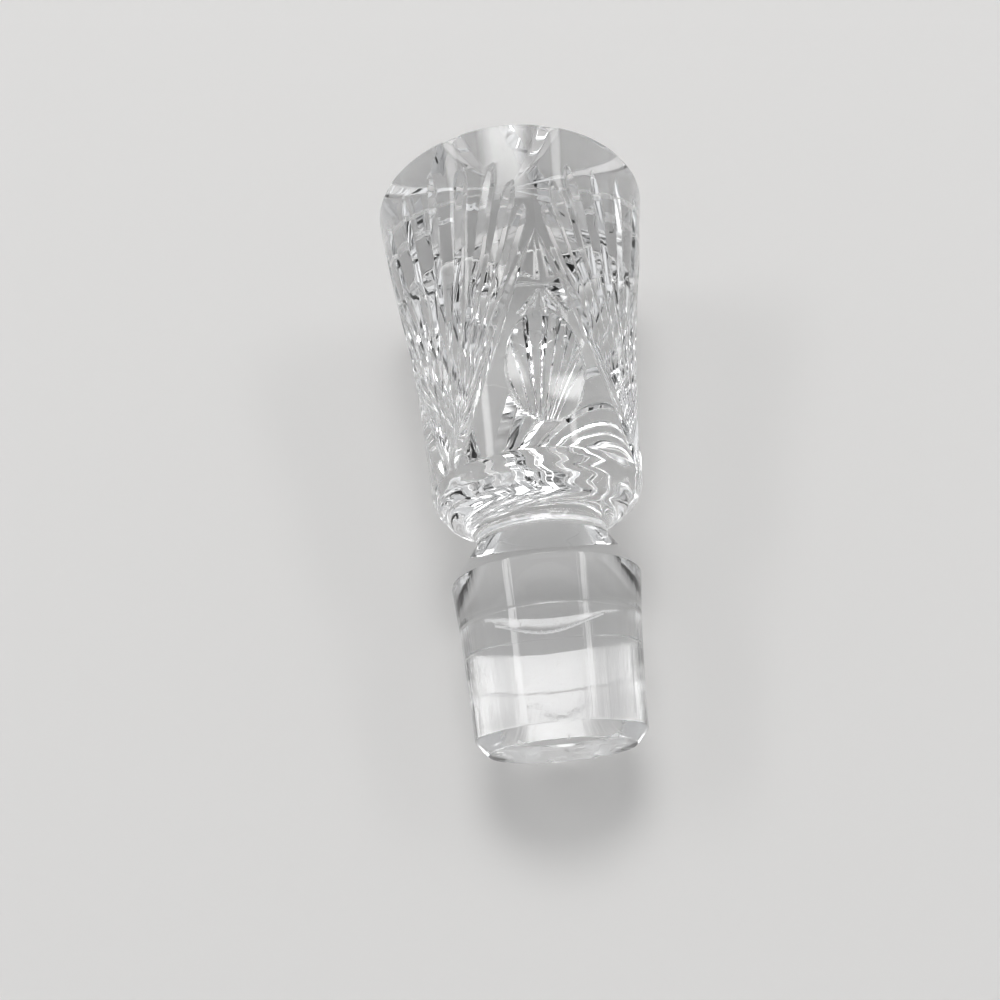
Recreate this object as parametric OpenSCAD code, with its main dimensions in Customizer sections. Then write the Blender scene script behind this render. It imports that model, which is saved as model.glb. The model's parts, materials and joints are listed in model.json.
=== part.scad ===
// Cut-glass decanter stopper, lying on its side as it comes to rest.
// Millimetres, +Z up. The plug points to -Y and the top to +Y.

/* [Plug] */
// flat ground end, across
end_d = 20.6; // [18:0.2:23]
// plug just above the end's chamfer, across
tip_d = 24.1; // [23:0.1:26]
// chamfer round the end, along the axis
end_chamfer_h = 1.9; // [0.5:0.1:4]
// top of the ground taper, across
ground_d = 26.4; // [25:0.1:27.5]
// ground taper and chamfer, along the axis
ground_l = 17.5; // [12:0.5:22]
// plug at its collar, across
collar_d = 28; // [27:0.2:34]
// whole plug, from the end to the collar
plug_l = 24.2; // [23:0.2:32]

/* [Neck] */
// slope of the shoulder from the collar in to the neck, off the axis
shoulder_deg = 32.6; // [28:1:45]
// narrowest part of the neck, across
neck_d = 20; // [16:0.5:24]
// hollow curve of the neck, radius
neck_arc_r = 3; // [2:0.2:4]
// round underside of the body, radius
bulge_arc_r = 6.2; // [5:0.2:8]

/* [Body] */
// lower edge of the body, across
foot_d = 32.4; // [30:0.2:38]
// flare of the body, along the axis
flare_h = 39.2; // [36:0.2:48]
// hollow curve of the flare, radius
flare_arc_r = 287; // [240:5:400]
// top of the flare, across
crown_foot_d = 41.5; // [40:0.5:44]
// crown above the flare, along the axis
crown_h = 12.8; // [11:0.2:16]
// rim at the top, across
rim_d = 45; // [43:0.5:54]
// bevel round the rim
rim_bevel = 0.3; // [0.1:0.1:0.6]

/* [Panels and fans] */
// panels round the body, with a fan between each two
panel_n = 3; // [2:1:4]
// turn of the panels from straight up
panel_turn_deg = 11; // [0:1:30]
// point of each panel, up from the body's lower edge
panel_h = 35.2; // [30:0.2:38]
// V edge of the wheel that makes the long cuts, angle
wheel_deg = 100; // [90:5:115]
// V cuts beside each panel, depth
border_cut_h = 0.85; // [0.3:0.05:1]
// V cuts of the fans, depth
fan_cut_h = 0.55; // [0.2:0.05:0.7]
// V cuts on each side of a fan's middle one
fan_side_n = 5; // [2:1:5]
// glass left between a fan's middle cut and the top
fan_top_gap = 3.8; // [2.5:0.1:8]
// how much lower a fan's outermost cuts end
fan_side_drop = 11; // [6:0.5:14]

/* [Inside each panel] */
// small cuts, depth
sprig_cut_h = 0.35; // [0.2:0.05:0.5]
// middle of the small cuts, down from the panel's point
sprig_drop = 10; // [8:0.2:11]
// round hollow, middle up from the body's lower edge
hollow_up = 13.5; // [12:0.1:14.5]
// round hollow, radius of the wheel that cut it
hollow_wheel_r = 20; // [15:1:24]
// round hollow, depth
hollow_h = 2; // [1:0.1:2.3]

/* [Star in the top] */
// rays of the star
ray_n = 9; // [5:2:11]
// one ray, across at the rim
ray_w = 3.2; // [2:0.1:4]
// one ray, depth at the rim
ray_h = 1.4; // [0.8:0.1:2]

/* [Hidden] */
$fn = 96;

end_r = end_d / 2;
tip_r = tip_d / 2;
ground_r = ground_d / 2;
collar_r = collar_d / 2;
neck_r = neck_d / 2;
foot_r = foot_d / 2;
rim_r = rim_d / 2;

// Up from the collar: a straight shoulder that touches the neck's hollow, the hollow itself, and
// the round underside of the body, which ends at the foot edge.
neck_c = neck_r + neck_arc_r;
fall_r = neck_c - neck_arc_r * cos(shoulder_deg);
fall_s = plug_l + (collar_r - fall_r) / tan(shoulder_deg);
neck_s = fall_s + neck_arc_r * sin(shoulder_deg);
arc_sum = neck_arc_r + bulge_arc_r;
foot_drop = 1.3;
bulge_c = foot_r - sqrt(pow(bulge_arc_r, 2) - pow(foot_drop, 2));
bulge_s = neck_s + sqrt(pow(arc_sum, 2) - pow(neck_c - bulge_c, 2));
meet_r = neck_c + (bulge_c - neck_c) * neck_arc_r / arc_sum;
meet_s = neck_s + (bulge_s - neck_s) * neck_arc_r / arc_sum;
foot_s = bulge_s - foot_drop;
crown_foot_s = foot_s + flare_h;
stopper_l = crown_foot_s + crown_h;

// The flare is an arc from the foot to the crown, hollow outwards.
foot = [foot_r, foot_s];
joint = [crown_foot_d / 2, crown_foot_s];
chord = joint - foot;
flare_off = sqrt(pow(flare_arc_r, 2) - pow(norm(chord) / 2, 2));
flare_c = foot + chord / 2 + [chord[1], -chord[0]] * flare_off / norm(chord);

// The body is turned in narrow cones along that arc, and the crown is one more cone.
flare_n = 5;
flare_bands = [for (i = [0:flare_n]) let (s = foot_s + flare_h * i / flare_n)
    [s, flare_c[0] - sqrt(pow(flare_arc_r, 2) - pow(s - flare_c[1], 2))]];
bands = concat(flare_bands, [[stopper_l, rim_r]]);

// Radius of the uncut body at a height.
function body_r(s) = lookup(s, bands);

// Angle of a point that lies this far round the body at a height.
function turn(x, s) = x / body_r(s) * 180 / PI;

// A point of a cut: its angle round the axis, its height, and its depth under the uncut body.
function under(c) = [
    (body_r(c[1]) - c[2]) * cos(c[0]),
    (body_r(c[1]) - c[2]) * sin(c[0]),
    c[1]
];

// One ray of the star faces down, so the body's top end rests on the two edges of that ray.
// How far those edges reach from the axis, at a depth under the top:
ray_half = ray_w / 2 / ray_h;
function rim_reach(d) = min(body_r(stopper_l - d), rim_r - rim_bevel + d);
function reach(d) = sqrt(pow(rim_reach(d), 2) - pow((ray_h - d) * ray_half, 2));

// What could touch the table, as height and reach, below and above the middle of the weight.
weight_s = (plug_l + stopper_l) / 2;
edge_n = 40;
low_edges = [
    [end_chamfer_h, tip_r],
    [ground_l, ground_r],
    [plug_l, collar_r],
    [foot_s, foot_r],
];
high_edges = concat(
    [[crown_foot_s, crown_foot_d / 2]],
    [for (i = [0:edge_n]) let (d = ray_h * i / edge_n) [stopper_l - d, reach(d)]]
);

// It rests on the pair whose straight line passes furthest from the axis at the weight.
function line_r(a, b) = a[1] + (b[1] - a[1]) * (weight_s - a[0]) / (b[0] - a[0]);
furthest = max([for (a = low_edges, b = high_edges) line_r(a, b)]);
rest_pair = [for (a = low_edges, b = high_edges) if (line_r(a, b) == furthest) [a, b]][0];
low_edge = rest_pair[0];
high_edge = rest_pair[1];
lean_deg = atan2(high_edge[1] - low_edge[1], high_edge[0] - low_edge[0]);
rest_z = low_edge[1] * cos(lean_deg) - low_edge[0] * sin(lean_deg);
back_y = -end_r * sin(lean_deg);
front_r = sqrt(pow(rim_r - rim_bevel, 2) - pow(ray_w / 2, 2));
front_y = stopper_l * cos(lean_deg) + front_r * sin(lean_deg);

// The border cuts run from the panel's point down to the foot, where they near the next panel's.
panel_peak_s = foot_s + panel_h;
border_gap_deg = 6;
border_up = 0.6;
border_start = 0.4;
border_rise = 3;
border_fall = 2;
border_deg = 180 / panel_n - border_gap_deg;
border_low_s = foot_s + border_up;
border_x = body_r(border_low_s) * border_deg * PI / 180;
border_n = 5;

// The fan's cuts spread from a root above the foot, inside the border cuts. The wheel comes in
// from clear of the glass, deepens as the cuts spread, and leaves in a point at the top. The
// outer cuts start higher, and the spread is a little wider near the middle one.
fan_gap_deg = 9;
fan_root_up = 0.4;
fan_root_step = 2;
fan_bend = 0.45;
fan_root_s = foot_s + fan_root_up;
fan_deg = 180 / panel_n - fan_gap_deg;
fan_x = body_r(panel_peak_s) * fan_deg * PI / 180;
fan_top_s = stopper_l - fan_top_gap;
fan_steps = [[0, -0.3], [0.12, 0.4], [0.35, 0.8], [0.65, 1], [0.9, 1], [1, -0.4]];

// A sprig has one cut straight down, pairs of cuts at angles from it, and one level cut.
sprig_s = panel_peak_s - sprig_drop;
sprig_down_l = 4.6;
sprig_pairs = [[38, 5.2], [66, 5.6], [128, 3.4], [168, 7.4]];
sprig_level_half = 6;
sprig_gap = 0.7;

hollow_s = foot_s + hollow_up;
ray_gap = 0.6;
over = 1.2;
past = 0.2;
pad = 3;
wheel_half = tan(wheel_deg / 2);

// Half outline of the uncut glass, radius across and height up.
module outline() {
    polygon([
        [0, 0],
        [end_r, 0],
        [tip_r, end_chamfer_h],
        [ground_r, ground_l],
        [collar_r, plug_l],
        [fall_r, fall_s],
        [0, fall_s],
    ]);
    difference() {
        polygon([
            [0, fall_s],
            [fall_r, fall_s],
            [neck_c, neck_s],
            [meet_r, meet_s],
            [0, meet_s],
        ]);
        translate([neck_c, neck_s]) circle(r = neck_arc_r);
    }
    translate([0, meet_s]) square([bulge_c, foot_s - meet_s]);
    intersection() {
        translate([bulge_c, bulge_s]) circle(r = bulge_arc_r);
        translate([0, meet_s]) square([bulge_c + bulge_arc_r, foot_s - meet_s]);
    }
    polygon(concat([[0, foot_s]], [for (b = bands) [b[1], b[0]]], [[0, stopper_l]]));
}

// What the bevel takes off the rim.
module rim_bevel_ring() {
    translate([0, 0, stopper_l - rim_bevel])
    rotate_extrude() polygon([
        [rim_r - rim_bevel - past, rim_bevel + past],
        [rim_r + past, -past],
        [rim_r + pad, -past],
        [rim_r + pad, rim_bevel + past],
    ]);
}

// A bar with a V edge: the edge runs from p to q, and the bar opens away from the axis.
module v_bar(p, q, h, more = 0) {
    u = (q - p) / norm(q - p);
    mid = (p + q) / 2;
    side = cross([mid[0], mid[1], 0], u);
    v = side / norm(side);
    w = cross(u, v);
    o = p - u * more;
    multmatrix([
        [v[0], w[0], u[0], o[0]],
        [v[1], w[1], u[1], o[1]],
        [v[2], w[2], u[2], o[2]],
        [0, 0, 0, 1],
    ])
    linear_extrude(height = norm(q - p) + 2 * more)
    polygon([[0, 0], [h * wheel_half, h], [-h * wheel_half, h]]);
}

// One length of a V cut between two points of it, ended level at both.
module v_length(a, b) {
    h = max(a[2], b[2]) + over;
    low = min(a[1], b[1]);
    intersection() {
        v_bar(under(a), under(b), h, more = over);
        translate([0, 0, low]) cylinder(r = rim_r + pad, h = abs(b[1] - a[1]));
    }
}

// A V cut along a row of points.
module v_cut(row) {
    for (i = [1:len(row) - 1]) v_length(row[i - 1], row[i]);
}

// One of the two long cuts beside a panel, on the side given by the sign.
module border_cut(side) {
    v_cut([for (i = [0:border_n]) let (t = i / border_n) [
        turn(side * border_x * (1 - t), border_low_s + (panel_peak_s - border_low_s) * t),
        border_low_s + (panel_peak_s - border_low_s) * t,
        border_cut_h * min(1, border_fall * (1 - t)) * min(1, border_start + border_rise * t)
    ]]);
}

// One cut of a fan, at a share of its spread from -1 to 1.
module fan_cut(k) {
    top_s = fan_top_s - fan_side_drop * pow(k, 2);
    low_s = fan_root_s + fan_root_step * abs(k);
    slope = k * (1 + fan_bend - fan_bend * abs(k)) * fan_x / (panel_peak_s - fan_root_s);
    v_cut([for (step = fan_steps) let (s = low_s + (top_s - low_s) * step[0]) [
        turn(slope * (s - fan_root_s), s),
        s,
        fan_cut_h * step[1]
    ]]);
}

module fan() {
    for (i = [-fan_side_n:fan_side_n]) fan_cut(i / fan_side_n);
}

// One small cut from the sprig's middle, at an angle from straight down. It grows outwards.
module sprig_cut(deg, l) {
    function at(d) = [
        turn(d * sin(deg), sprig_s),
        sprig_s - d * cos(deg),
        sprig_cut_h * d / l
    ];
    v_bar(under(at(sprig_gap)), under(at(l)), sprig_cut_h + over);
}

module sprig() {
    sprig_cut(0, sprig_down_l);
    for (side = [-1, 1]) for (pair = sprig_pairs) sprig_cut(pair[0] * side, pair[1]);
    level_r = body_r(sprig_s) - sprig_cut_h;
    v_bar([level_r, -sprig_level_half, sprig_s], [level_r, sprig_level_half, sprig_s], sprig_cut_h + over);
}

// The wheel that grinds the hollow comes in square to the sloping side.
module round_hollow() {
    slope = atan2(crown_foot_d / 2 - foot_r, flare_h);
    translate([body_r(hollow_s), 0, hollow_s])
    rotate([0, slope, 0])
    translate([hollow_wheel_r - hollow_h, 0, 0])
    sphere(r = hollow_wheel_r);
}

// One ray of the star: it starts at the surface near the middle and is deepest at the rim.
module ray() {
    drop = ray_h / rim_r;
    v_bar_up(
        [ray_gap, 0, stopper_l - drop * ray_gap],
        [rim_r + pad, 0, stopper_l - drop * (rim_r + pad)],
        ray_h + over
    );
}

// A V edge that opens upwards.
module v_bar_up(p, q, h) {
    l = norm(q - p);
    translate(p)
    rotate([0, atan2(p[2] - q[2], q[0] - p[0]), 0])
    rotate([90, 0, 90])
    linear_extrude(height = l) polygon([[0, 0], [h * ray_half, h], [-h * ray_half, h]]);
}

// One solid piece of cut glass, stood on its plug.
module upright() {
    difference() {
        rotate_extrude() outline();
        rim_bevel_ring();
        for (i = [0:panel_n - 1]) rotate([0, 0, panel_turn_deg + i * 360 / panel_n]) {
            border_cut(-1);
            border_cut(1);
            sprig();
            round_hollow();
        }
        for (i = [0:panel_n - 1]) rotate([0, 0, panel_turn_deg + (i + 0.5) * 360 / panel_n]) fan();
        for (i = [0:ray_n - 1]) rotate([0, 0, 180 + i * 360 / ray_n]) ray();
    }
}

module stopper() {
    color([0.86, 0.9, 0.93, 0.4])
    translate([0, -(back_y + front_y) / 2, rest_z])
    rotate([lean_deg, 0, 0])
    rotate([-90, -90, 0])
    upright();
}

stopper();
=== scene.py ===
import json
import math

import bpy
import numpy as np
from mathutils import Matrix, Vector


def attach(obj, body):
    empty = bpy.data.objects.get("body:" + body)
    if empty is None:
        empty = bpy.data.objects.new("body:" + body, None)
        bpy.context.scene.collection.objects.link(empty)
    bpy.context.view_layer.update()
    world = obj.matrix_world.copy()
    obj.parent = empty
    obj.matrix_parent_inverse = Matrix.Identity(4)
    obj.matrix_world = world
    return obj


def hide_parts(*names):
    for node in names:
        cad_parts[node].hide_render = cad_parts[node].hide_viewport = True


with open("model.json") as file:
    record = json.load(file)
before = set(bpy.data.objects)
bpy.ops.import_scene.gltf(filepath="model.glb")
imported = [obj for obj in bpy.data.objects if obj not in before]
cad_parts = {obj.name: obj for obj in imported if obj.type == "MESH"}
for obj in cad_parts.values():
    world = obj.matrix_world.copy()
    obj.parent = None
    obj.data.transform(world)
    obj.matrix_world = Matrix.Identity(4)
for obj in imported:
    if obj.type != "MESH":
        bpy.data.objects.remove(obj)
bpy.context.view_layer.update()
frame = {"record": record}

bl_info = {
    "name": "Cut-glass decanter stopper",
    "version": (1, 0, 0),
    "blender": (4, 5, 0),
    "location": "View3D > Sidebar > Stopper",
    "description": "Cuts and finishes a glass stopper and sets a small studio round it",
    "category": "Object",
}

MM = 0.001
DEG = math.pi / 180


def mount(name):
    """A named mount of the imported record."""
    return next(m for m in frame["record"]["mounts"] if m["name"] == name)


# The middle of the plug's end, and the way from there to the top.
PLUG_END = Vector(mount("plug_end")["pos_m"])
UPWARD = -Vector(mount("plug_end")["axis"])

# Sizes of the stopper in millimetres, stood on its plug: r is out from the axis, s is up it.
END_R, TIP_R, GROUND_R, COLLAR_R, NECK_R = 10.3, 12.05, 13.2, 14.0, 10.0
FOOT_R, CROWN_R, RIM_R = 16.2, 20.75, 22.5
CHAMFER_S, GROUND_S, COLLAR_S = 1.9, 17.5, 24.2
SHOULDER = 32.6 * DEG
NECK_ARC, BULGE_ARC, FOOT_DROP, FLARE_ARC = 3.0, 6.2, 1.3, 287.0
FLARE_H, CROWN_H = 39.2, 12.8

NECK_C = NECK_R + NECK_ARC
FALL_R = NECK_C - NECK_ARC * math.cos(SHOULDER)
FALL_S = COLLAR_S + (COLLAR_R - FALL_R) / math.tan(SHOULDER)
NECK_S = FALL_S + NECK_ARC * math.sin(SHOULDER)
BULGE_C = FOOT_R - math.sqrt(BULGE_ARC**2 - FOOT_DROP**2)
BULGE_S = NECK_S + math.sqrt((NECK_ARC + BULGE_ARC) ** 2 - (NECK_C - BULGE_C) ** 2)
FOOT_S = BULGE_S - FOOT_DROP
CROWN_S = FOOT_S + FLARE_H
TOP_S = CROWN_S + CROWN_H

# How softly cuts meet each other and the skin, and how round the bottom of a cut is.
SOFT, SPRIG_SOFT, HOLLOW_SOFT = 0.06, 0.03, 0.12
CUT_BOTTOM = 0.04

# Slopes of the wheels: how far a cut reaches to each side for each millimetre of its depth.
WHEEL, LEG_WHEEL = math.tan(50 * DEG), math.tan(60 * DEG)

# Three panels, each a sixth of a turn to either side of its middle.
PANELS = 3
PANEL_TURN, SECTOR = 11 * DEG, 60 * DEG

# The two legs of a panel: its point, how fast they part, their depth, how it fades at the point,
# and how it begins and grows at the foot.
PEAK_S, LEG_SLOPE, LEG_H = 73.4, 0.455, 0.68
LEG_FADE, LEG_START, LEG_RISE = 2, 0.1, 7
LEG_LEAN = math.cos(math.atan(LEG_SLOPE))

# Over the point nothing is cut, and the columns part again this fast and this far.
PART_SLOPE, PART_X = 0.4, 2.2

# The fans: where they begin, how fast the outer cut parts from the middle one and how much the
# others bend out, and each cut's share of that, from the outer one in, with the height of its top.
FAN_ROOT_S, FAN_REACH, FAN_BEND = FOOT_S + 0.4, 0.53, 0.45
FAN_CUTS = ((1.0, 77.0), (0.8, 80.8), (0.6, 84.2), (0.4, 84.6), (0.2, 86.0), (0.0, 86.3))

# A fan cut's depth, how much higher the outer ones begin, how far from its top a cut closes, how
# fast it comes in at the root, and how it swells on the way up.
FAN_H, FAN_STEP, FAN_CLOSE, FAN_ENTRY = 0.62, 1.5, 3.0, 0.4
FAN_SWELL = (0.2, 3.0, 3.6, 1.7)

# The sprig's strokes about its middle: from and to, across and up, and the depths at both ends.
SPRIG_S, STROKE_END = 64.0, 2.5
SPRIG_STROKES = (
    (-3.4, 0.3, 3.4, 0.1, 0.16, 0.20),
    (0.05, -0.6, 0.5, -4.6, 0.02, 0.46),
    (-0.15, -0.6, -1.4, -3.4, 0.02, 0.30),
    (-0.4, -0.5, -3.0, -4.3, 0.02, 0.42),
    (0.4, -0.6, 2.4, -3.2, 0.02, 0.34),
    (0.6, -0.3, 4.0, -3.9, 0.02, 0.46),
    (-0.4, 0.9, -2.5, 2.0, 0.02, 0.30),
    (-0.25, 8.0, -0.35, 1.2, 0.02, 0.44),
    (0.25, 8.2, 1.7, 1.5, 0.02, 0.52),
)

# The round hollow in each panel.
HOLLOW_S, HOLLOW_H, HOLLOW_WHEEL = 51.4, 1.9, 20.0

# The star: its rays, where they begin, how they deepen outwards, and the nick a blunt end leaves
# in the rim with the slope in from there.
RAYS = 9
RAY_TURN, RAY_STEP = 20 * DEG, 2 * SECTOR / 3
RAY_H, RAY_WIDE, RAY_START, RAY_GROWTH = 0.95, 1.7, 0.5, 0.82
RAY_HALF = RAY_WIDE / RAY_H
RAY_NICK, RAY_BLUNT = 0.12, 1.2

# The fire-polished skin lies a little under the true outline, so its waves stay inside it.
SINK, PLUG_SINK, TOP_SINK = 0.05, 0.02, 0.02
BULGE_WAVE_S, BULGE_WAVE_WIDE, BULGE_WAVE_H = 36.0, 2.6, 0.035

# The line where the ground part meets the polished collar: half its width, and its depth.
LINE_HALF, LINE_H = 0.22, 0.06

# The scratch across the ground part: its lowest height, how much its ends rise and how fast, its
# two ends as angles with the run of each, and the part at the left end that is broader.
SCRATCH_S, SCRATCH_RISE, SCRATCH_BOW = 13.43, 3.4, 3
SCRATCH_LEFT, SCRATCH_RIGHT = (-0.62, 0.08), (0.66, 0.25)
SCRATCH_BROAD = (-0.25, 0.04)
SCRATCH_HALF, SCRATCH_H = (0.2, 0.05), (0.22, 0.10)

# Chips off the edge of the plug's end: angle, half width as an angle, and depth.
CHIPS = (
    (-2.9, 0.05, 0.35), (-2.2, 0.03, 0.2), (2.6, 0.06, 0.4), (1.9, 0.03, 0.22),
    (-0.55, 0.035, 0.3), (0.75, 0.05, 0.3), (0.1, 0.02, 0.15), (-1.3, 0.04, 0.25),
)
CHIP_REACH, CHIP_IN, CHIP_UP = 0.25, 0.8, 0.5

# How white a millimetre of the scratch's depth and of a chip's turns the glass.
SCRATCH_WORN, CHIP_WORN = 20, 4

# The mesh. Its columns follow the fans up to the first of these heights and the star from the
# second, with so many from a panel's middle to its leg, between the lines of the fans' cuts, and
# in each half of a ray.
COLUMNS = 504
SHIFT_S = (86.4, 88.8)
PANEL_COLUMNS, CUT_COLUMNS, COLUMN_GAP = 33, 3, 0.03
STAR_COLUMNS, STAR_GAP = (0, 1, 8, 9, 28), 0.002

# Rows: from a corner to its rounded edge, beside the ground line, beside the scratch, up the body
# (from, to and how many, closest over the sprig and the point), under the edge of the top, and in
# from there.
CORNER, LINE_ROWS, SCRATCH_ROWS = 0.12, (0.07, 0.26), (-0.26, -0.08, 0.08, 0.26)
BODY_ROWS = ((FOOT_S + 0.12, 58, 37), (58, 74, 52), (74, SHIFT_S[0], 26))
RIM_UNDER, RIM_ROWS, STAR_ROWS = 0.3, (0.3, 0.48, 0.62, 0.76), (1.3, 1.2, 24)

# The height that is one whole in the UV map.
UV_HEIGHT = 100

# Steps over which slopes are taken, for the skin and, finer, for the angle at the side's cuts.
STEP, FINE_STEP = 1e-3, 5e-5

# How the glass is worn. Heights are the UV map's: where the dull end stops, and where the lines
# along the plug begin over its chamfer and end at the collar's top. Then the roughness of the haze
# and of the end, the depth of wear at which glass counts as broken, and the share of each kind of
# mark in the bump.
UV_NAME, WORN_NAME = "round_and_up", "worn"
END_UP, PLUG_LOW_UP, PLUG_TOP_UP = (0.0016, 0.0004), (0.017, 0.022), (0.245, 0.235)
HAZE, END_DULL, BROKEN_FROM = (0.0, 0.03), (0.03, 0.14), (0.05, 0.6)
FINE_SHARE, LINES_SHARE, SWELL_SHARE, PITS_SHARE = 0.12, 0.35, 0.12, 0.03
BUMP_STRENGTH = 0.35

# The studio, in metres. The lens is as long as the sensor is wide.
CAMERA_LENS, CAMERA_CLIP = 36.0, (0.01, 20.0)
FLOOR_SIZE, FLOOR_ROUGHNESS = 6.0, 0.7
SKY_COLOUR = (0.98, 0.99, 1.0, 1.0)
SKY_HEIGHT, SKY_LOW, SKY_HIGH = 0.85, 0.92, 0.44

# Lamps: name, azimuth and elevation in degrees, width, height and strength. They all hang this far
# away, and their edges fade over this share of their size.
LAMP_DISTANCE, LAMP_EDGE = 2.0, 0.35
LAMPS = (
    ("key", 176, 62, 1.4, 1.05, 8.2),
    ("left", -105, 46, 1.5, 0.42, 6.0),
    ("right", 105, 46, 1.5, 0.34, 6.0),
)


def smooth_max(a, b, k):
    """The larger of two, rounded where they are within k of each other."""
    near = np.clip(k - np.abs(a - b), 0, None)
    return np.maximum(a, b) + near * near / (4 * k)


def ease(t):
    """From 0 to 1 with a level start and end."""
    t = np.clip(t, 0, 1)
    return t * t * (3 - 2 * t)


def body_r(s):
    """Radius of the uncut body: a shallow hollow arc from the foot to the crown, then a cone."""
    chord = np.array([CROWN_R - FOOT_R, FLARE_H])
    length = np.linalg.norm(chord)
    off = math.sqrt(FLARE_ARC**2 - (length / 2) ** 2)
    centre_r = (FOOT_R + CROWN_R) / 2 + chord[1] * off / length
    centre_s = (FOOT_S + CROWN_S) / 2 - chord[0] * off / length
    arc = centre_r - np.sqrt(FLARE_ARC**2 - (s - centre_s) ** 2)
    cone = CROWN_R + (RIM_R - CROWN_R) * (s - CROWN_S) / CROWN_H
    return np.where(s < CROWN_S, arc, cone)


def leg_x(s):
    """How far a leg is from its panel's middle, round the body. Past the peak the columns part
    again."""
    up = np.clip(s - PEAK_S, 0, None)
    return np.where(s < PEAK_S, LEG_SLOPE * (PEAK_S - s), np.minimum(PART_SLOPE * up, PART_X))


def leg_h(s):
    """Depth of a leg: it comes in at the foot and thins towards the peak."""
    t = (s - FOOT_S) / (PEAK_S - FOOT_S)
    return LEG_H * np.minimum(np.minimum(1, LEG_FADE * (1 - t)), LEG_START + LEG_RISE * t)


def fan_slope(share):
    """How fast a fan cut parts from its fan's middle. Cuts near the middle spread a little more."""
    return FAN_REACH * share * (1 + FAN_BEND - FAN_BEND * share)


def fan_x(share, top, s):
    """How far a fan cut is from its fan's middle, round the body. Over its top the angle stays."""
    run = fan_slope(share) * (np.minimum(s, top) - FAN_ROOT_S)
    return np.where(s > top, run * body_r(s) / body_r(np.minimum(s, top)), np.maximum(run, 0))


def fan_h(share, top, s):
    """Depth of a fan cut: nothing at the root, deeper up the body, and a blunt point at the top."""
    low = FAN_ROOT_S + FAN_STEP * share
    rise = np.clip((s - low) / (top - low), -0.02, 1)
    close = np.clip((top - s) / FAN_CLOSE, -1, 1)
    close = np.sign(close) * np.sqrt(np.abs(close))
    first, up, over, late = FAN_SWELL
    deep = FAN_H * (first + up * rise - over * rise**2 + late * rise**3)
    return np.where(s < low, (s - low) * FAN_ENTRY, deep * close)


def stroke(x, y, x0, y0, x1, y1, h0, h1):
    """Signed depth of one straight V stroke from a point to another, h0 deep growing to h1."""
    dx, dy = x1 - x0, y1 - y0
    length = math.hypot(dx, dy)
    along = ((x - x0) * dx + (y - y0) * dy) / length
    across = np.abs((x - x0) * dy - (y - y0) * dx) / length
    h = h0 + (h1 - h0) * (along / length)
    past = np.maximum(-along, along - length)
    return np.minimum(h - across / WHEEL, h - np.clip(past, 0, None) * STROKE_END)


def side_depth(turn, s):
    """How deep the cuts are under the uncut body, at an angle round it and a height.

    Every cut is the wheel's V: its depth on its own line less the distance from that line over the
    wheel's half width, and the deepest one counts. The hollow is a ball's cap."""
    from_panel = (turn - PANEL_TURN + SECTOR) % (2 * SECTOR) - SECTOR
    r = body_r(s)
    x = r * from_panel
    from_middle = np.abs(x)
    off = np.sqrt((from_middle - leg_x(s)) ** 2 + CUT_BOTTOM**2)
    depth = np.where(s < PEAK_S, leg_h(s), -(s - PEAK_S)) - off * LEG_LEAN / LEG_WHEEL
    to_fan = r * SECTOR - from_middle
    for share, top in FAN_CUTS:
        off = np.sqrt((to_fan - fan_x(share, top, s)) ** 2 + CUT_BOTTOM**2)
        cut = fan_h(share, top, s) - off * math.cos(math.atan(fan_slope(share))) / WHEEL
        depth = smooth_max(depth, cut, SOFT)
    for line in SPRIG_STROKES:
        depth = smooth_max(depth, stroke(x, s - SPRIG_S, *line), SPRIG_SOFT)
    ball = HOLLOW_H - (s - HOLLOW_S) ** 2 / (2 * HOLLOW_WHEEL)
    ball = ball - x**2 / 2 * (1 / HOLLOW_WHEEL + 1 / FOOT_R)
    depth = smooth_max(depth, ball, HOLLOW_SOFT)
    return smooth_max(depth, 0 * s, SOFT)


def waves(turn, s):
    """Small unevenness of the fire-polished glass, outwards.

    Two slow waves that wind round, tighter ones in the round underside that fade away from it, and
    the fine line where the ground part ends."""
    slow = 0.035 * np.sin(2 * turn + s / 9 + 1.1) + 0.02 * np.sin(5 * turn - s / 5)
    bulge = np.exp(-(((s - BULGE_WAVE_S) / BULGE_WAVE_WIDE) ** 2))
    tight = np.sin(s * 3.3 + 2.2 * np.sin(turn + 0.7) + 0.6 * np.sin(7 * turn))
    line = np.clip(1 - ((s - GROUND_S) / LINE_HALF) ** 2, 0, None) ** 2
    return -SINK + slow + bulge * BULGE_WAVE_H * (tight - 1) - LINE_H * line


def ray_deep(r):
    """Depth of a ray's own line, which grows outwards."""
    return RAY_H * np.clip((r - RAY_START) / (RIM_R - RAY_START), 0, 1) ** RAY_GROWTH


def ray_depth(turn, r):
    """How deep the star is under the flat top: leaf-shaped cuts of a flat V, with a blunt end that
    leaves only a nick in the rim."""
    off = (turn - RAY_TURN + RAY_STEP / 2) % RAY_STEP - RAY_STEP / 2
    across = np.sqrt((r * np.sin(off)) ** 2 + CUT_BOTTOM**2)
    blunt = RAY_NICK + (RIM_R - r) * RAY_BLUNT
    return smooth_max(np.minimum(ray_deep(r) - across / RAY_HALF, blunt), 0 * r, SOFT)


def spread(knots, places, gap):
    """Columns between knots: each knot has its place in the row of columns, and those between two
    knots are evenly spaced. Knots keep their order, at least a gap for each column apart."""
    knots = np.maximum.accumulate(knots - gap * places, axis=1) + gap * places
    return knots, np.stack([
        np.interp(np.arange(places[-1] + 1), places, np.eye(len(places))[i])
        for i in range(len(places))
    ])


def all_round(half, count, start, step):
    """The columns of a half sector and their mirror image, repeated round the axis."""
    sector = np.concatenate([-half[:, :0:-1], half[:, :-1]], axis=1)
    return np.concatenate([start + i * step + sector for i in range(count)], axis=1)


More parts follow.
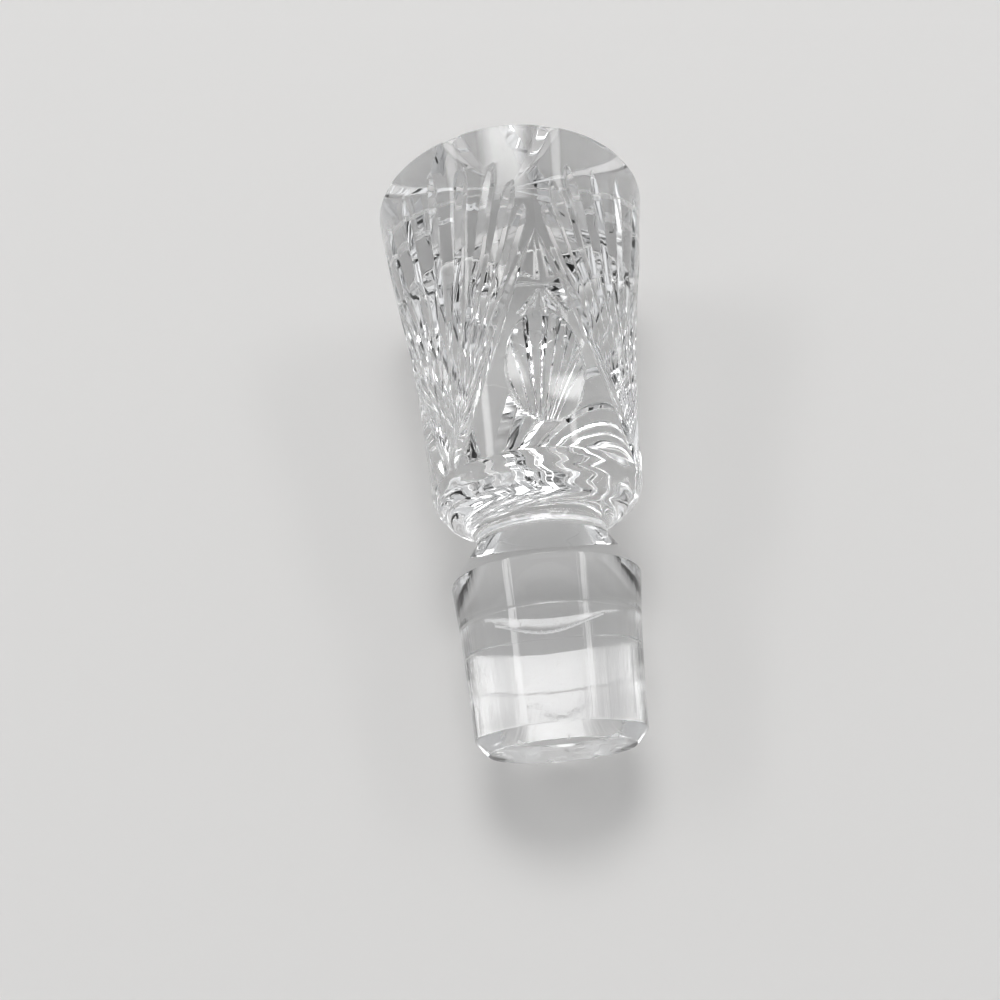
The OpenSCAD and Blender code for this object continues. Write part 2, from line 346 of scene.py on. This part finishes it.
def half_columns(s):
    """Where the columns run at these heights, from a panel's middle to its fan's middle.

    They follow the leg and the fan's cuts, so each edge of a cut has a line of the mesh on it."""
    r = body_r(s)
    middles = [leg_x(s)]
    halves = [np.where(s < PEAK_S, leg_h(s), 0) * LEG_WHEEL / LEG_LEAN]
    for share, top in FAN_CUTS:
        middles.append(r * SECTOR - fan_x(share, top, s))
        halves.append(fan_h(share, top, s) * WHEEL / math.cos(math.atan(fan_slope(share))))
    halves = [np.clip(h, 3 * SOFT, None) for h in halves]
    left = [m - h for m, h in zip(middles, halves)]
    right = [m + h for m, h in zip(middles, halves)]
    for i in range(len(middles) - 1):
        ridge = (right[i] + left[i + 1]) / 2
        right[i] = np.minimum(right[i], ridge)
        left[i + 1] = np.maximum(left[i + 1], ridge)
    knots, places, at = [0 * s], [0], 0
    for i, m in enumerate(middles):
        at += CUT_COLUMNS if i else PANEL_COLUMNS
        lines = [left[i] - SOFT, left[i] + SOFT, m - SOFT]
        if i == len(middles) - 1:
            lines += [m]
        else:
            lines += [m + SOFT, right[i] - SOFT, right[i] + SOFT]
        for j, line in enumerate(lines):
            knots.append(line)
            places.append(at + j)
        at = places[-1]
    places = np.asarray(places)
    knots, weight = spread(np.stack(knots, axis=1), places, COLUMN_GAP)
    end = (r * SECTOR)[:, None] - COLUMN_GAP * (places[-1] - places)
    return np.minimum(knots, end) @ weight


def body_turns(s):
    """Angles of all the columns at these heights, in the order round the body."""
    return all_round(half_columns(s) / body_r(s)[:, None], PANELS, PANEL_TURN, 2 * SECTOR)


def star_turns(r):
    """Angles of the columns on the top, which follow the star's edges."""
    half_turn = RAY_STEP / 2
    edge = np.arcsin(np.clip((ray_deep(r) + 0.01) * RAY_HALF / np.maximum(r, 0.5), 0, 0.3))
    e = np.minimum(SOFT / np.maximum(r, 0.1), 0.01)
    knots = np.stack([0 * r, e, edge - e, edge + e, 0 * r + half_turn], axis=1)
    knots, weight = spread(knots, np.array(STAR_COLUMNS), STAR_GAP)
    knots[:, -1] = half_turn
    turns = all_round(knots @ weight, RAYS, RAY_TURN, RAY_STEP)
    back = round((RAY_TURN - half_turn + SECTOR - PANEL_TURN) / (2 * math.pi) * COLUMNS)
    turns = np.roll(turns, back, axis=1)
    turns[:, :back] -= 2 * math.pi
    return turns


def from_front(turn):
    """An angle round the axis, from half a turn back to half a turn on."""
    return (turn + math.pi) % (2 * math.pi) - math.pi


def scratch_s(turn):
    """Height of the scratch that runs across the ground part, lowest near the middle of its run.

    A bow that levels out towards its ends, with two small quick waves that fade with it."""
    x = from_front(turn) + 0.03
    uneven = 0.05 * np.sin(90 * x) + 0.04 * np.sin(211 * x + 1)
    bow = SCRATCH_RISE * (1 - np.exp(-SCRATCH_BOW * x * x))
    return SCRATCH_S + bow + uneven * np.exp(-4 * x * x)


def scratch_depth(turn, s):
    """Depth of the scratch: a fine groove in uneven dashes, wider and deeper at its left end."""
    x = from_front(turn)
    (left, left_run), (right, right_run) = SCRATCH_LEFT, SCRATCH_RIGHT
    run = ease((x - left) / left_run) * ease((right - x) / right_run)
    broad = ease((SCRATCH_BROAD[0] - x) / SCRATCH_BROAD[1])
    dashes = 0.62 + 0.38 * np.sin(157 * x) * np.sin(61 * x + 1)
    half = SCRATCH_HALF[0] + SCRATCH_HALF[1] * broad
    across = np.clip(1 - ((s - scratch_s(turn)) / half) ** 2, 0, None) ** 2
    return run * dashes * (SCRATCH_H[0] + SCRATCH_H[1] * broad) * across


def chips(turn, row_s, row_r):
    """Small flakes off the plug's end edge: round dents at uneven places, fading from the edge."""
    out = 0 * turn
    for at, half, deep in CHIPS:
        out = out + deep * np.exp(-((from_front(turn - at) / half) ** 2))
    near = np.exp(-((row_s / CHIP_REACH) ** 2)) * np.exp(-(((row_r - END_R) / CHIP_REACH) ** 2))
    return out * near


def arc_rows(centre_r, centre_s, radius, side, angles):
    """Rows along an arc of the outline, which bends in where side is -1 and out where it is 1."""
    for q in angles:
        c, d = math.cos(q), math.sin(q)
        yield centre_r + side * radius * c, centre_s + radius * d, c, side * d


def turned_rows():
    """Rows from the plug's end up to the foot: radius, height, and the outline's outward normal.

    Each corner is two rows a little apart with their own sides' normals, so it is softly rounded.
    The line over the ground part has two rows more on each side."""
    corners = [
        (END_R, 0.0), (TIP_R, CHAMFER_S), (GROUND_R, GROUND_S), (COLLAR_R, COLLAR_S),
        (FALL_R, FALL_S),
    ]
    rows = [(r, 0.0, 0.0, -1.0) for r in (3.5, 7.5, END_R - CORNER)]
    for a, b, n in zip(corners, corners[1:], (3, 8, 3, 2)):
        run = np.array(b) - np.array(a)
        length = np.hypot(*run)
        t = run / length
        steps = np.linspace(CORNER, length - (0.0 if b == corners[-1] else CORNER), n + 1)
        if a[1] == GROUND_S:
            steps = np.concatenate([LINE_ROWS, steps[1:]])
        if b[1] == GROUND_S:
            steps = np.concatenate([steps[:-1], length - np.array(LINE_ROWS[::-1])])
        rows += [(a[0] + t[0] * u, a[1] + t[1] * u, t[1], -t[0]) for u in steps]
    meet = math.atan2(BULGE_S - NECK_S, NECK_C - BULGE_C)
    rows += arc_rows(NECK_C, NECK_S, NECK_ARC, -1, np.linspace(-SHOULDER, meet, 9)[1:-1])
    low = math.atan2(NECK_S - BULGE_S, NECK_C - BULGE_C)
    high = math.atan2(-FOOT_DROP, FOOT_R - BULGE_C)
    rows += arc_rows(BULGE_C, BULGE_S, BULGE_ARC, 1, np.linspace(low, high - 0.02, 12))
    return np.array(rows)


def to_frame(points):
    """Turns points or normals of the stopper stood on its plug to how it lies in the frame."""
    up = np.array([0.0, -UPWARD[2], UPWARD[1]])
    across = np.array([1.0, 0.0, 0.0])
    basis = np.stack([up, across, np.array(UPWARD)])
    return points @ basis


def slopes(surface, a, b, step_a, step_b):
    """Slopes of a surface of two values along each of them, taken over small steps."""
    along_a = (surface(a + step_a, b) - surface(a - step_a, b)) / (2 * step_a)
    along_b = (surface(a, b + step_b) - surface(a, b - step_b)) / (2 * step_b)
    return along_a, along_b


def plug_surface():
    """The turned part below the foot, and how worn it is.

    Its rows are circles, but four follow the scratch. Each point is the outline's, moved
    along the outline's normal by the waves less the scratch, and in and up at a chip."""
    outline = turned_rows()
    heights = outline[:, 1]
    mix = ease((heights - NECK_S) / (FOOT_S - NECK_S) * 1.3)[:, None]
    mix[heights < NECK_S] = 0
    even = PANEL_TURN - SECTOR + np.arange(COLUMNS) * 2 * math.pi / COLUMNS
    turn = even * (1 - mix) + body_turns(np.full(len(outline), FOOT_S + 0.01)) * mix
    r0, s0, n_out, n_up = [np.repeat(outline[:, i : i + 1], COLUMNS, axis=1) for i in range(4)]
    along = np.flatnonzero((heights > 9.5) & (heights < GROUND_S - 0.5))[-len(SCRATCH_ROWS):]
    s0[along] = scratch_s(turn[along]) + np.array(SCRATCH_ROWS)[:, None]
    taper = (GROUND_R - TIP_R) / (GROUND_S - CHAMFER_S)
    r0[along] = TIP_R + (s0[along] - CHAMFER_S) * taper

    def swell(t, s):
        return waves(t, s) * ease((s - 3) / 4) - PLUG_SINK - scratch_depth(t, s)

    out = swell(turn, s0)
    dt, ds = slopes(swell, turn, s0, STEP, STEP)
    chip = chips(turn, s0, r0)
    r = r0 + n_out * out - chip * CHIP_IN
    s = s0 + n_up * out * (s0 > 0) + chip * CHIP_UP
    worn = np.clip(scratch_depth(turn, s0) * SCRATCH_WORN + chip * CHIP_WORN, 0, 1)
    return (turn, r, s, n_out + n_up * ds, -dt / np.maximum(r0, 1), n_up - n_out * ds), worn


def body_surface():
    """The body from the foot to the rim: the flare's radius less the cuts' depth, and the waves."""
    cut = np.concatenate([np.linspace(*rows, endpoint=False) for rows in BODY_ROWS])
    rim_turn = star_turns(np.array([RIM_R]))
    h = np.concatenate([np.linspace(0, 1, 9), [1.0]])[:, None]
    at_rim = np.concatenate([np.zeros(9), [1.0]])[:, None]
    shifted = body_turns(np.full(len(h), SHIFT_S[0])) * (1 - ease(h)) + rim_turn * ease(h)
    side_top = TOP_S - RIM_UNDER - ray_depth(rim_turn, np.full_like(rim_turn, RIM_R))
    level_s = SHIFT_S[0] + (SHIFT_S[1] - SHIFT_S[0]) * h
    turn = np.concatenate([body_turns(cut), shifted])
    s = np.concatenate([
        np.repeat(cut[:, None], COLUMNS, axis=1), level_s + (side_top - level_s) * at_rim,
    ])

    def radius(t, z):
        return body_r(z) - side_depth(t, z) + waves(t, z)

    r = radius(turn, s)
    dt, ds = slopes(radius, turn, s, FINE_STEP, STEP)
    return turn, r, s, np.ones_like(r), -dt / r, -ds


def top_surface():
    """The flat top less the star's depth, from the rim in to the middle."""
    first, last, n = STAR_ROWS
    ring = np.concatenate([RIM_R - np.array(RIM_ROWS), np.linspace(RIM_R - first, last, n)])
    turn = star_turns(ring)
    r = np.repeat(ring[:, None], COLUMNS, axis=1)

    def level(t, q):
        return TOP_S - TOP_SINK - ray_depth(t, q)

    dt, dr = slopes(level, turn, r, STEP, STEP)
    return turn, r, level(turn, r), -dr, -dt / r, np.ones_like(r)


def stopper_surface():
    """Points, normals, UVs and wear of the whole stopper, as one grid of rows by columns."""
    plug, plug_worn = plug_surface()
    turn, r, s, n_r, n_t, n_s = map(np.concatenate, zip(plug, body_surface(), top_surface()))
    worn = np.zeros_like(r)
    worn[: len(plug_worn)] = plug_worn
    c, d = np.cos(turn), np.sin(turn)
    points = np.stack([r * c, r * d, s], axis=-1)
    normals = np.stack([n_r * c - n_t * d, n_r * d + n_t * c, n_s], axis=-1)
    normals /= np.linalg.norm(normals, axis=-1, keepdims=True)
    uv = np.stack([turn / (2 * math.pi), s / UV_HEIGHT], axis=-1)
    return points, normals, uv, worn


def build_stopper():
    """The stopper's closed mesh: the grid's quads, and a fan of triangles over each end."""
    points, normals, uv, worn = stopper_surface()
    rows, cols = points.shape[:2]
    verts = np.concatenate([[[0, 0, 0]], points.reshape(-1, 3), [[0, 0, TOP_S - TOP_SINK]]])
    norms = np.concatenate([[[0, 0, -1]], normals.reshape(-1, 3), [[0, 0, 1]]])
    index = 1 + np.arange(rows * cols).reshape(rows, cols)
    right = np.roll(index, -1, axis=1)
    quads = np.stack([index[:-1], right[:-1], right[1:], index[1:]], axis=-1).reshape(-1, 4)
    first = np.stack([np.zeros(cols, int), right[0], index[0]], axis=-1)
    last = np.stack([np.full(cols, rows * cols + 1), index[-1], right[-1]], axis=-1)
    verts = to_frame(verts) * MM + np.array(PLUG_END)
    norms = to_frame(norms)

    mesh = bpy.data.meshes.new("stopper_glass")
    corners = np.concatenate([quads.ravel(), first.ravel(), last.ravel()]).astype(np.int32)
    sizes = np.concatenate([np.full(len(quads), 4), np.full(2 * cols, 3)])
    starts = np.concatenate([[0], np.cumsum(sizes)[:-1]]).astype(np.int32)
    mesh.vertices.add(len(verts))
    mesh.vertices.foreach_set("co", verts.astype(np.float32).ravel())
    mesh.loops.add(len(corners))
    mesh.loops.foreach_set("vertex_index", corners)
    mesh.polygons.add(len(sizes))
    mesh.polygons.foreach_set("loop_start", starts)
    mesh.update(calc_edges=True)
    if mesh.validate():
        raise RuntimeError("the stopper's mesh had faults")
    mesh.shade_smooth()
    mesh.normals_split_custom_set_from_vertices(norms)

    flat = np.concatenate([[[0.0, 0.0]], uv.reshape(-1, 2), [[0.0, TOP_S / UV_HEIGHT]]])
    per_corner = flat[corners]
    face = np.repeat(np.arange(len(sizes)), sizes)
    top = np.maximum.reduceat(per_corner[:, 0], starts)
    wraps = (top[face] - per_corner[:, 0]) > 0.5
    per_corner[wraps, 0] += 1.0
    layer = mesh.uv_layers.new(name=UV_NAME)
    layer.data.foreach_set("uv", per_corner.astype(np.float32).ravel())

    mark = mesh.attributes.new(WORN_NAME, "FLOAT", "POINT")
    mark.data.foreach_set("value", np.concatenate([[0.0], worn.ravel(), [0.0]]).astype(np.float32))

    piece = bpy.data.objects.new("stopper_glass", mesh)
    bpy.context.scene.collection.objects.link(piece)
    return piece


class GlassSettings(bpy.types.PropertyGroup):
    """The look of the glass"""

    colour: bpy.props.FloatVectorProperty(
        name="Glass colour", description="Colour of the clear glass", subtype="COLOR", size=3,
        min=0.0, max=1.0, default=(0.985, 0.988, 0.99),
    )
    refraction: bpy.props.FloatProperty(
        name="Refraction", description="Refractive index of the glass", min=1.0, default=1.545,
    )
    mark_height: bpy.props.FloatProperty(
        name="Mark height", description="Height of the fine marks of use", unit="LENGTH",
        min=0.0, default=0.0004,
    )
    broken_roughness: bpy.props.FloatProperty(
        name="Broken roughness", description="How rough the glass is in the scratch and the chips",
        subtype="FACTOR", min=0.0, max=1.0, default=0.55,
    )


class StageSettings(bpy.types.PropertyGroup):
    """The floor's colour, and where the camera stands"""

    floor_colour: bpy.props.FloatVectorProperty(
        name="Floor colour", description="Colour of the floor under the stopper", subtype="COLOR",
        size=3, min=0.0, max=1.0, default=(0.72, 0.71, 0.70),
    )
    azimuth: bpy.props.FloatProperty(
        name="Azimuth", description="Turn of the camera round the stopper", subtype="ANGLE",
        default=math.radians(5.55),
    )
    elevation: bpy.props.FloatProperty(
        name="Elevation", description="Height of the camera over the horizon", subtype="ANGLE",
        default=math.radians(60.13),
    )
    roll: bpy.props.FloatProperty(
        name="Roll", description="Turn of the camera about its own line of sight", subtype="ANGLE",
        default=math.radians(10.79),
    )
    distance: bpy.props.FloatProperty(
        name="Distance", description="From the camera to the floor it aims at", unit="LENGTH",
        default=0.1718,
    )
    aim: bpy.props.FloatVectorProperty(
        name="Aim", description="Point of the floor that the camera aims at", subtype="TRANSLATION",
        size=2, unit="LENGTH", default=(-0.006713, 0.001616),
    )


def new_material(name, shader):
    """A material with one shader on its output, and that shader's node."""
    mat = bpy.data.materials.new(name)
    mat.use_nodes = True
    tree = mat.node_tree
    tree.nodes.clear()
    node = tree.nodes.new(shader)
    out = tree.nodes.new("ShaderNodeOutputMaterial")
    tree.links.new(node.outputs[0], out.inputs["Surface"])
    return mat, tree, node


def link_noise(tree, vector, scale, detail, size=(1, 1, 1)):
    """A noise value over mapped coordinates."""
    place = tree.nodes.new("ShaderNodeMapping")
    place.inputs["Scale"].default_value = size
    noise = tree.nodes.new("ShaderNodeTexNoise")
    noise.inputs["Scale"].default_value = scale
    noise.inputs["Detail"].default_value = detail
    tree.links.new(vector, place.inputs[0])
    tree.links.new(place.outputs[0], noise.inputs["Vector"])
    return noise.outputs["Fac"]


def link_range(tree, value, low, high, to_low=0.0, to_high=1.0):
    """A value eased from one range to another."""
    node = tree.nodes.new("ShaderNodeMapRange")
    node.interpolation_type = "SMOOTHSTEP"
    ends = {"From Min": low, "From Max": high, "To Min": to_low, "To Max": to_high}
    for name, end in ends.items():
        node.inputs[name].default_value = end
    tree.links.new(value, node.inputs["Value"])
    return node.outputs[0]


def link_math(tree, operation, *values):
    """One or two values, as numbers or sockets, put together."""
    node = tree.nodes.new("ShaderNodeMath")
    node.operation = operation
    for socket, value in zip(node.inputs, values):
        if isinstance(value, (int, float)):
            socket.default_value = value
        else:
            tree.links.new(value, socket)
    return node.outputs[0]


def link_axes(tree, output):
    """The X, Y and Z of a set of coordinates."""
    coord = tree.nodes.new("ShaderNodeTexCoord")
    split = tree.nodes.new("ShaderNodeSeparateXYZ")
    tree.links.new(coord.outputs[output], split.inputs[0])
    return split.outputs


def look_matrix(place, back, roll):
    """Rotation and place of a camera that looks against back, turned by roll about that line."""
    side = Vector((0, 0, 1)).cross(back).normalized()
    up = back.cross(side)
    top = up * math.cos(roll) + side * math.sin(roll)
    right = side * math.cos(roll) - up * math.sin(roll)
    m = Matrix((right, top, back)).transposed().to_4x4()
    m.translation = place
    return m


def from_angles(azimuth, elevation):
    """The way out to a point of the sky. Azimuth 0 is towards the plug's end."""
    level = math.cos(elevation)
    return Vector((math.sin(azimuth) * level, -math.cos(azimuth) * level, math.sin(elevation)))


def add_camera(s):
    """The camera, over the point of the floor that it aims at."""
    data = bpy.data.cameras.new("camera")
    data.lens = data.sensor_width = CAMERA_LENS
    data.clip_start, data.clip_end = CAMERA_CLIP
    cam = bpy.data.objects.new("camera", data)
    bpy.context.scene.collection.objects.link(cam)
    back = from_angles(s.azimuth, s.elevation)
    cam.matrix_world = look_matrix(Vector((*s.aim, 0.0)) + back * s.distance, back, s.roll)
    bpy.context.scene.camera = cam


def soft_light_material(name, strength):
    """A panel of light, even in the middle and fading over its edges."""
    mat, tree, glow = new_material(name, "ShaderNodeEmission")
    axes = link_axes(tree, "Object")
    fades = [
        link_range(tree, link_math(tree, "ABSOLUTE", axes[axis]), 0.5, 0.5 - LAMP_EDGE)
        for axis in "XY"
    ]
    level = link_math(tree, "MULTIPLY", link_math(tree, "MULTIPLY", *fades), strength)
    tree.links.new(level, glow.inputs["Strength"])
    return mat


def add_lamp(name, azimuth, elevation, width, height, strength):
    """A soft-edged light panel that faces the stopper, in the sky at an azimuth and elevation."""
    mesh = bpy.data.meshes.new(name)
    square = [(-0.5, -0.5, 0), (0.5, -0.5, 0), (0.5, 0.5, 0), (-0.5, 0.5, 0)]
    mesh.from_pydata(square, [], [(0, 1, 2, 3)])
    mesh.materials.append(soft_light_material(name, strength))
    lamp = bpy.data.objects.new(name, mesh)
    bpy.context.scene.collection.objects.link(lamp)
    back = from_angles(math.radians(azimuth), math.radians(elevation))
    facing = look_matrix(back * LAMP_DISTANCE, back, 0.0)
    lamp.matrix_world = facing @ Matrix.Diagonal((width, height, 1.0, 1.0))


def add_floor(colour):
    """The plain floor that the stopper lies on."""
    bpy.ops.mesh.primitive_plane_add(size=FLOOR_SIZE)
    floor = bpy.context.object
    floor.name = "floor"
    mat, _, bsdf = new_material("floor_paper", "ShaderNodeBsdfPrincipled")
    bsdf.inputs["Base Color"].default_value = (*colour, 1.0)
    bsdf.inputs["Roughness"].default_value = FLOOR_ROUGHNESS
    floor.data.materials.append(mat)


def add_world():
    """A pale sky, brightest at the horizon and fading upwards."""
    world = bpy.data.worlds.new("studio")
    bpy.context.scene.world = world
    world.use_nodes = True
    tree = world.node_tree
    sky = tree.nodes["Background"]
    sky.inputs["Color"].default_value = SKY_COLOUR
    height = link_axes(tree, "Generated")["Z"]
    fall = link_range(tree, height, 0.0, SKY_HEIGHT, SKY_LOW, SKY_HIGH)
    tree.links.new(fall, sky.inputs["Strength"])


def wear_group():
    """How used glass differs from new: a thin haze, marks along the plug, the plug's end left dull
    by the grinding, and the white of broken glass. Takes the height of the marks and the roughness
    of a break, and gives a roughness, a mask of the breaks and a normal."""
    group = bpy.data.node_groups.new("glass_wear", "ShaderNodeTree")
    for name, way, kind in (
        ("Mark Height", "INPUT", "NodeSocketFloat"),
        ("Broken Roughness", "INPUT", "NodeSocketFloat"),
        ("Roughness", "OUTPUT", "NodeSocketFloat"),
        ("Broken", "OUTPUT", "NodeSocketFloat"),
        ("Normal", "OUTPUT", "NodeSocketVector"),
    ):
        group.interface.new_socket(name, in_out=way, socket_type=kind)
    given = group.nodes.new("NodeGroupInput")
    out = group.nodes.new("NodeGroupOutput")
    uv = group.nodes.new("ShaderNodeUVMap")
    uv.uv_map = UV_NAME
    split = group.nodes.new("ShaderNodeSeparateXYZ")
    group.links.new(uv.outputs[0], split.inputs[0])
    up = split.outputs["Y"]
    place = group.nodes.new("ShaderNodeTexCoord").outputs["Object"]

    def times(a, b):
        return link_math(group, "MULTIPLY", a, b)

    def plus(a, b):
        return link_math(group, "ADD", a, b)

    end = link_range(group, up, *END_UP)
    plug = times(link_range(group, up, *PLUG_LOW_UP), link_range(group, up, *PLUG_TOP_UP))
    haze = link_range(group, link_noise(group, place, 90, 4), 0.5, 0.75, *HAZE)
    dull = link_range(group, link_noise(group, place, 700, 3), 0.35, 0.75, *END_DULL)
    mark = group.nodes.new("ShaderNodeAttribute")
    mark.attribute_name = WORN_NAME
    broken = link_range(group, mark.outputs["Fac"], *BROKEN_FROM)
    rough = plus(haze, times(end, dull))
    rough = plus(rough, times(broken, given.outputs["Broken Roughness"]))
    group.links.new(rough, out.inputs["Roughness"])
    group.links.new(broken, out.inputs["Broken"])

    marks = link_noise(group, uv.outputs[0], 1.0, 3, (70, 2.2, 1))
    fine = link_noise(group, uv.outputs[0], 1.0, 2, (420, 5, 1))
    lines = plus(marks, times(fine, FINE_SHARE))
    height = times(plug, times(lines, LINES_SHARE))
    height = plus(height, times(link_noise(group, place, 160, 1), SWELL_SHARE))
    height = plus(height, times(end, times(link_noise(group, place, 2600, 2), PITS_SHARE)))
    bump = group.nodes.new("ShaderNodeBump")
    bump.inputs["Strength"].default_value = BUMP_STRENGTH
    group.links.new(given.outputs["Mark Height"], bump.inputs["Distance"])
    group.links.new(height, bump.inputs["Height"])
    group.links.new(bump.outputs[0], out.inputs["Normal"])
    return group


def glass_material(s):
    """Clear lead crystal with the marks of use, and a white dust of broken glass in its breaks."""
    mat, tree, bsdf = new_material("cut_glass", "ShaderNodeBsdfPrincipled")
    bsdf.inputs["Base Color"].default_value = (*s.colour, 1.0)
    bsdf.inputs["IOR"].default_value = s.refraction
    bsdf.inputs["Transmission Weight"].default_value = 1.0
    bsdf.inputs["Sheen Roughness"].default_value = 1.0
    wear = tree.nodes.new("ShaderNodeGroup")
    wear.node_tree = wear_group()
    wear.inputs["Mark Height"].default_value = s.mark_height
    wear.inputs["Broken Roughness"].default_value = s.broken_roughness
    tree.links.new(wear.outputs["Roughness"], bsdf.inputs["Roughness"])
    tree.links.new(wear.outputs["Broken"], bsdf.inputs["Sheen Weight"])
    tree.links.new(wear.outputs["Normal"], bsdf.inputs["Normal"])
    return mat


class STOPPER_OT_glass(bpy.types.Operator):
    """Cuts the stopper and gives it its glass"""

    bl_idname = "stopper.glass"
    bl_label = "Finish the glass"

    def execute(self, context):
        piece = build_stopper()
        piece.data.materials.append(glass_material(context.scene.stopper_glass))
        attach(piece, "root")
        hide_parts("stopper")
        return {"FINISHED"}


class STOPPER_OT_stage(bpy.types.Operator):
    """Sets the floor, the lamps, the world and the camera"""

    bl_idname = "stopper.stage"
    bl_label = "Set the stage"

    def execute(self, context):
        s = context.scene.stopper_stage
        context.scene.view_settings.view_transform = "Standard"
        add_floor(s.floor_colour)
        add_world()
        for lamp in LAMPS:
            add_lamp(*lamp)
        add_camera(s)
        return {"FINISHED"}


class STOPPER_PT_panel(bpy.types.Panel):
    bl_label = "Stopper"
    bl_idname = "STOPPER_PT_panel"
    bl_space_type = "VIEW_3D"
    bl_region_type = "UI"
    bl_category = "Stopper"

    def draw(self, context):
        for op in OPERATORS:
            self.layout.operator(op.bl_idname)
        for settings in (context.scene.stopper_glass, context.scene.stopper_stage):
            for name in settings.__annotations__:
                self.layout.prop(settings, name)


OPERATORS = (STOPPER_OT_glass, STOPPER_OT_stage)
CLASSES = (GlassSettings, StageSettings, *OPERATORS, STOPPER_PT_panel)


def register():
    for c in CLASSES:
        bpy.utils.register_class(c)
    bpy.types.Scene.stopper_glass = bpy.props.PointerProperty(type=GlassSettings)
    bpy.types.Scene.stopper_stage = bpy.props.PointerProperty(type=StageSettings)


def unregister():
    del bpy.types.Scene.stopper_stage
    del bpy.types.Scene.stopper_glass
    for c in reversed(CLASSES):
        bpy.utils.unregister_class(c)


def main():
    register()
    bpy.ops.stopper.glass()
    bpy.ops.stopper.stage()


if __name__ == "__main__":
    main()
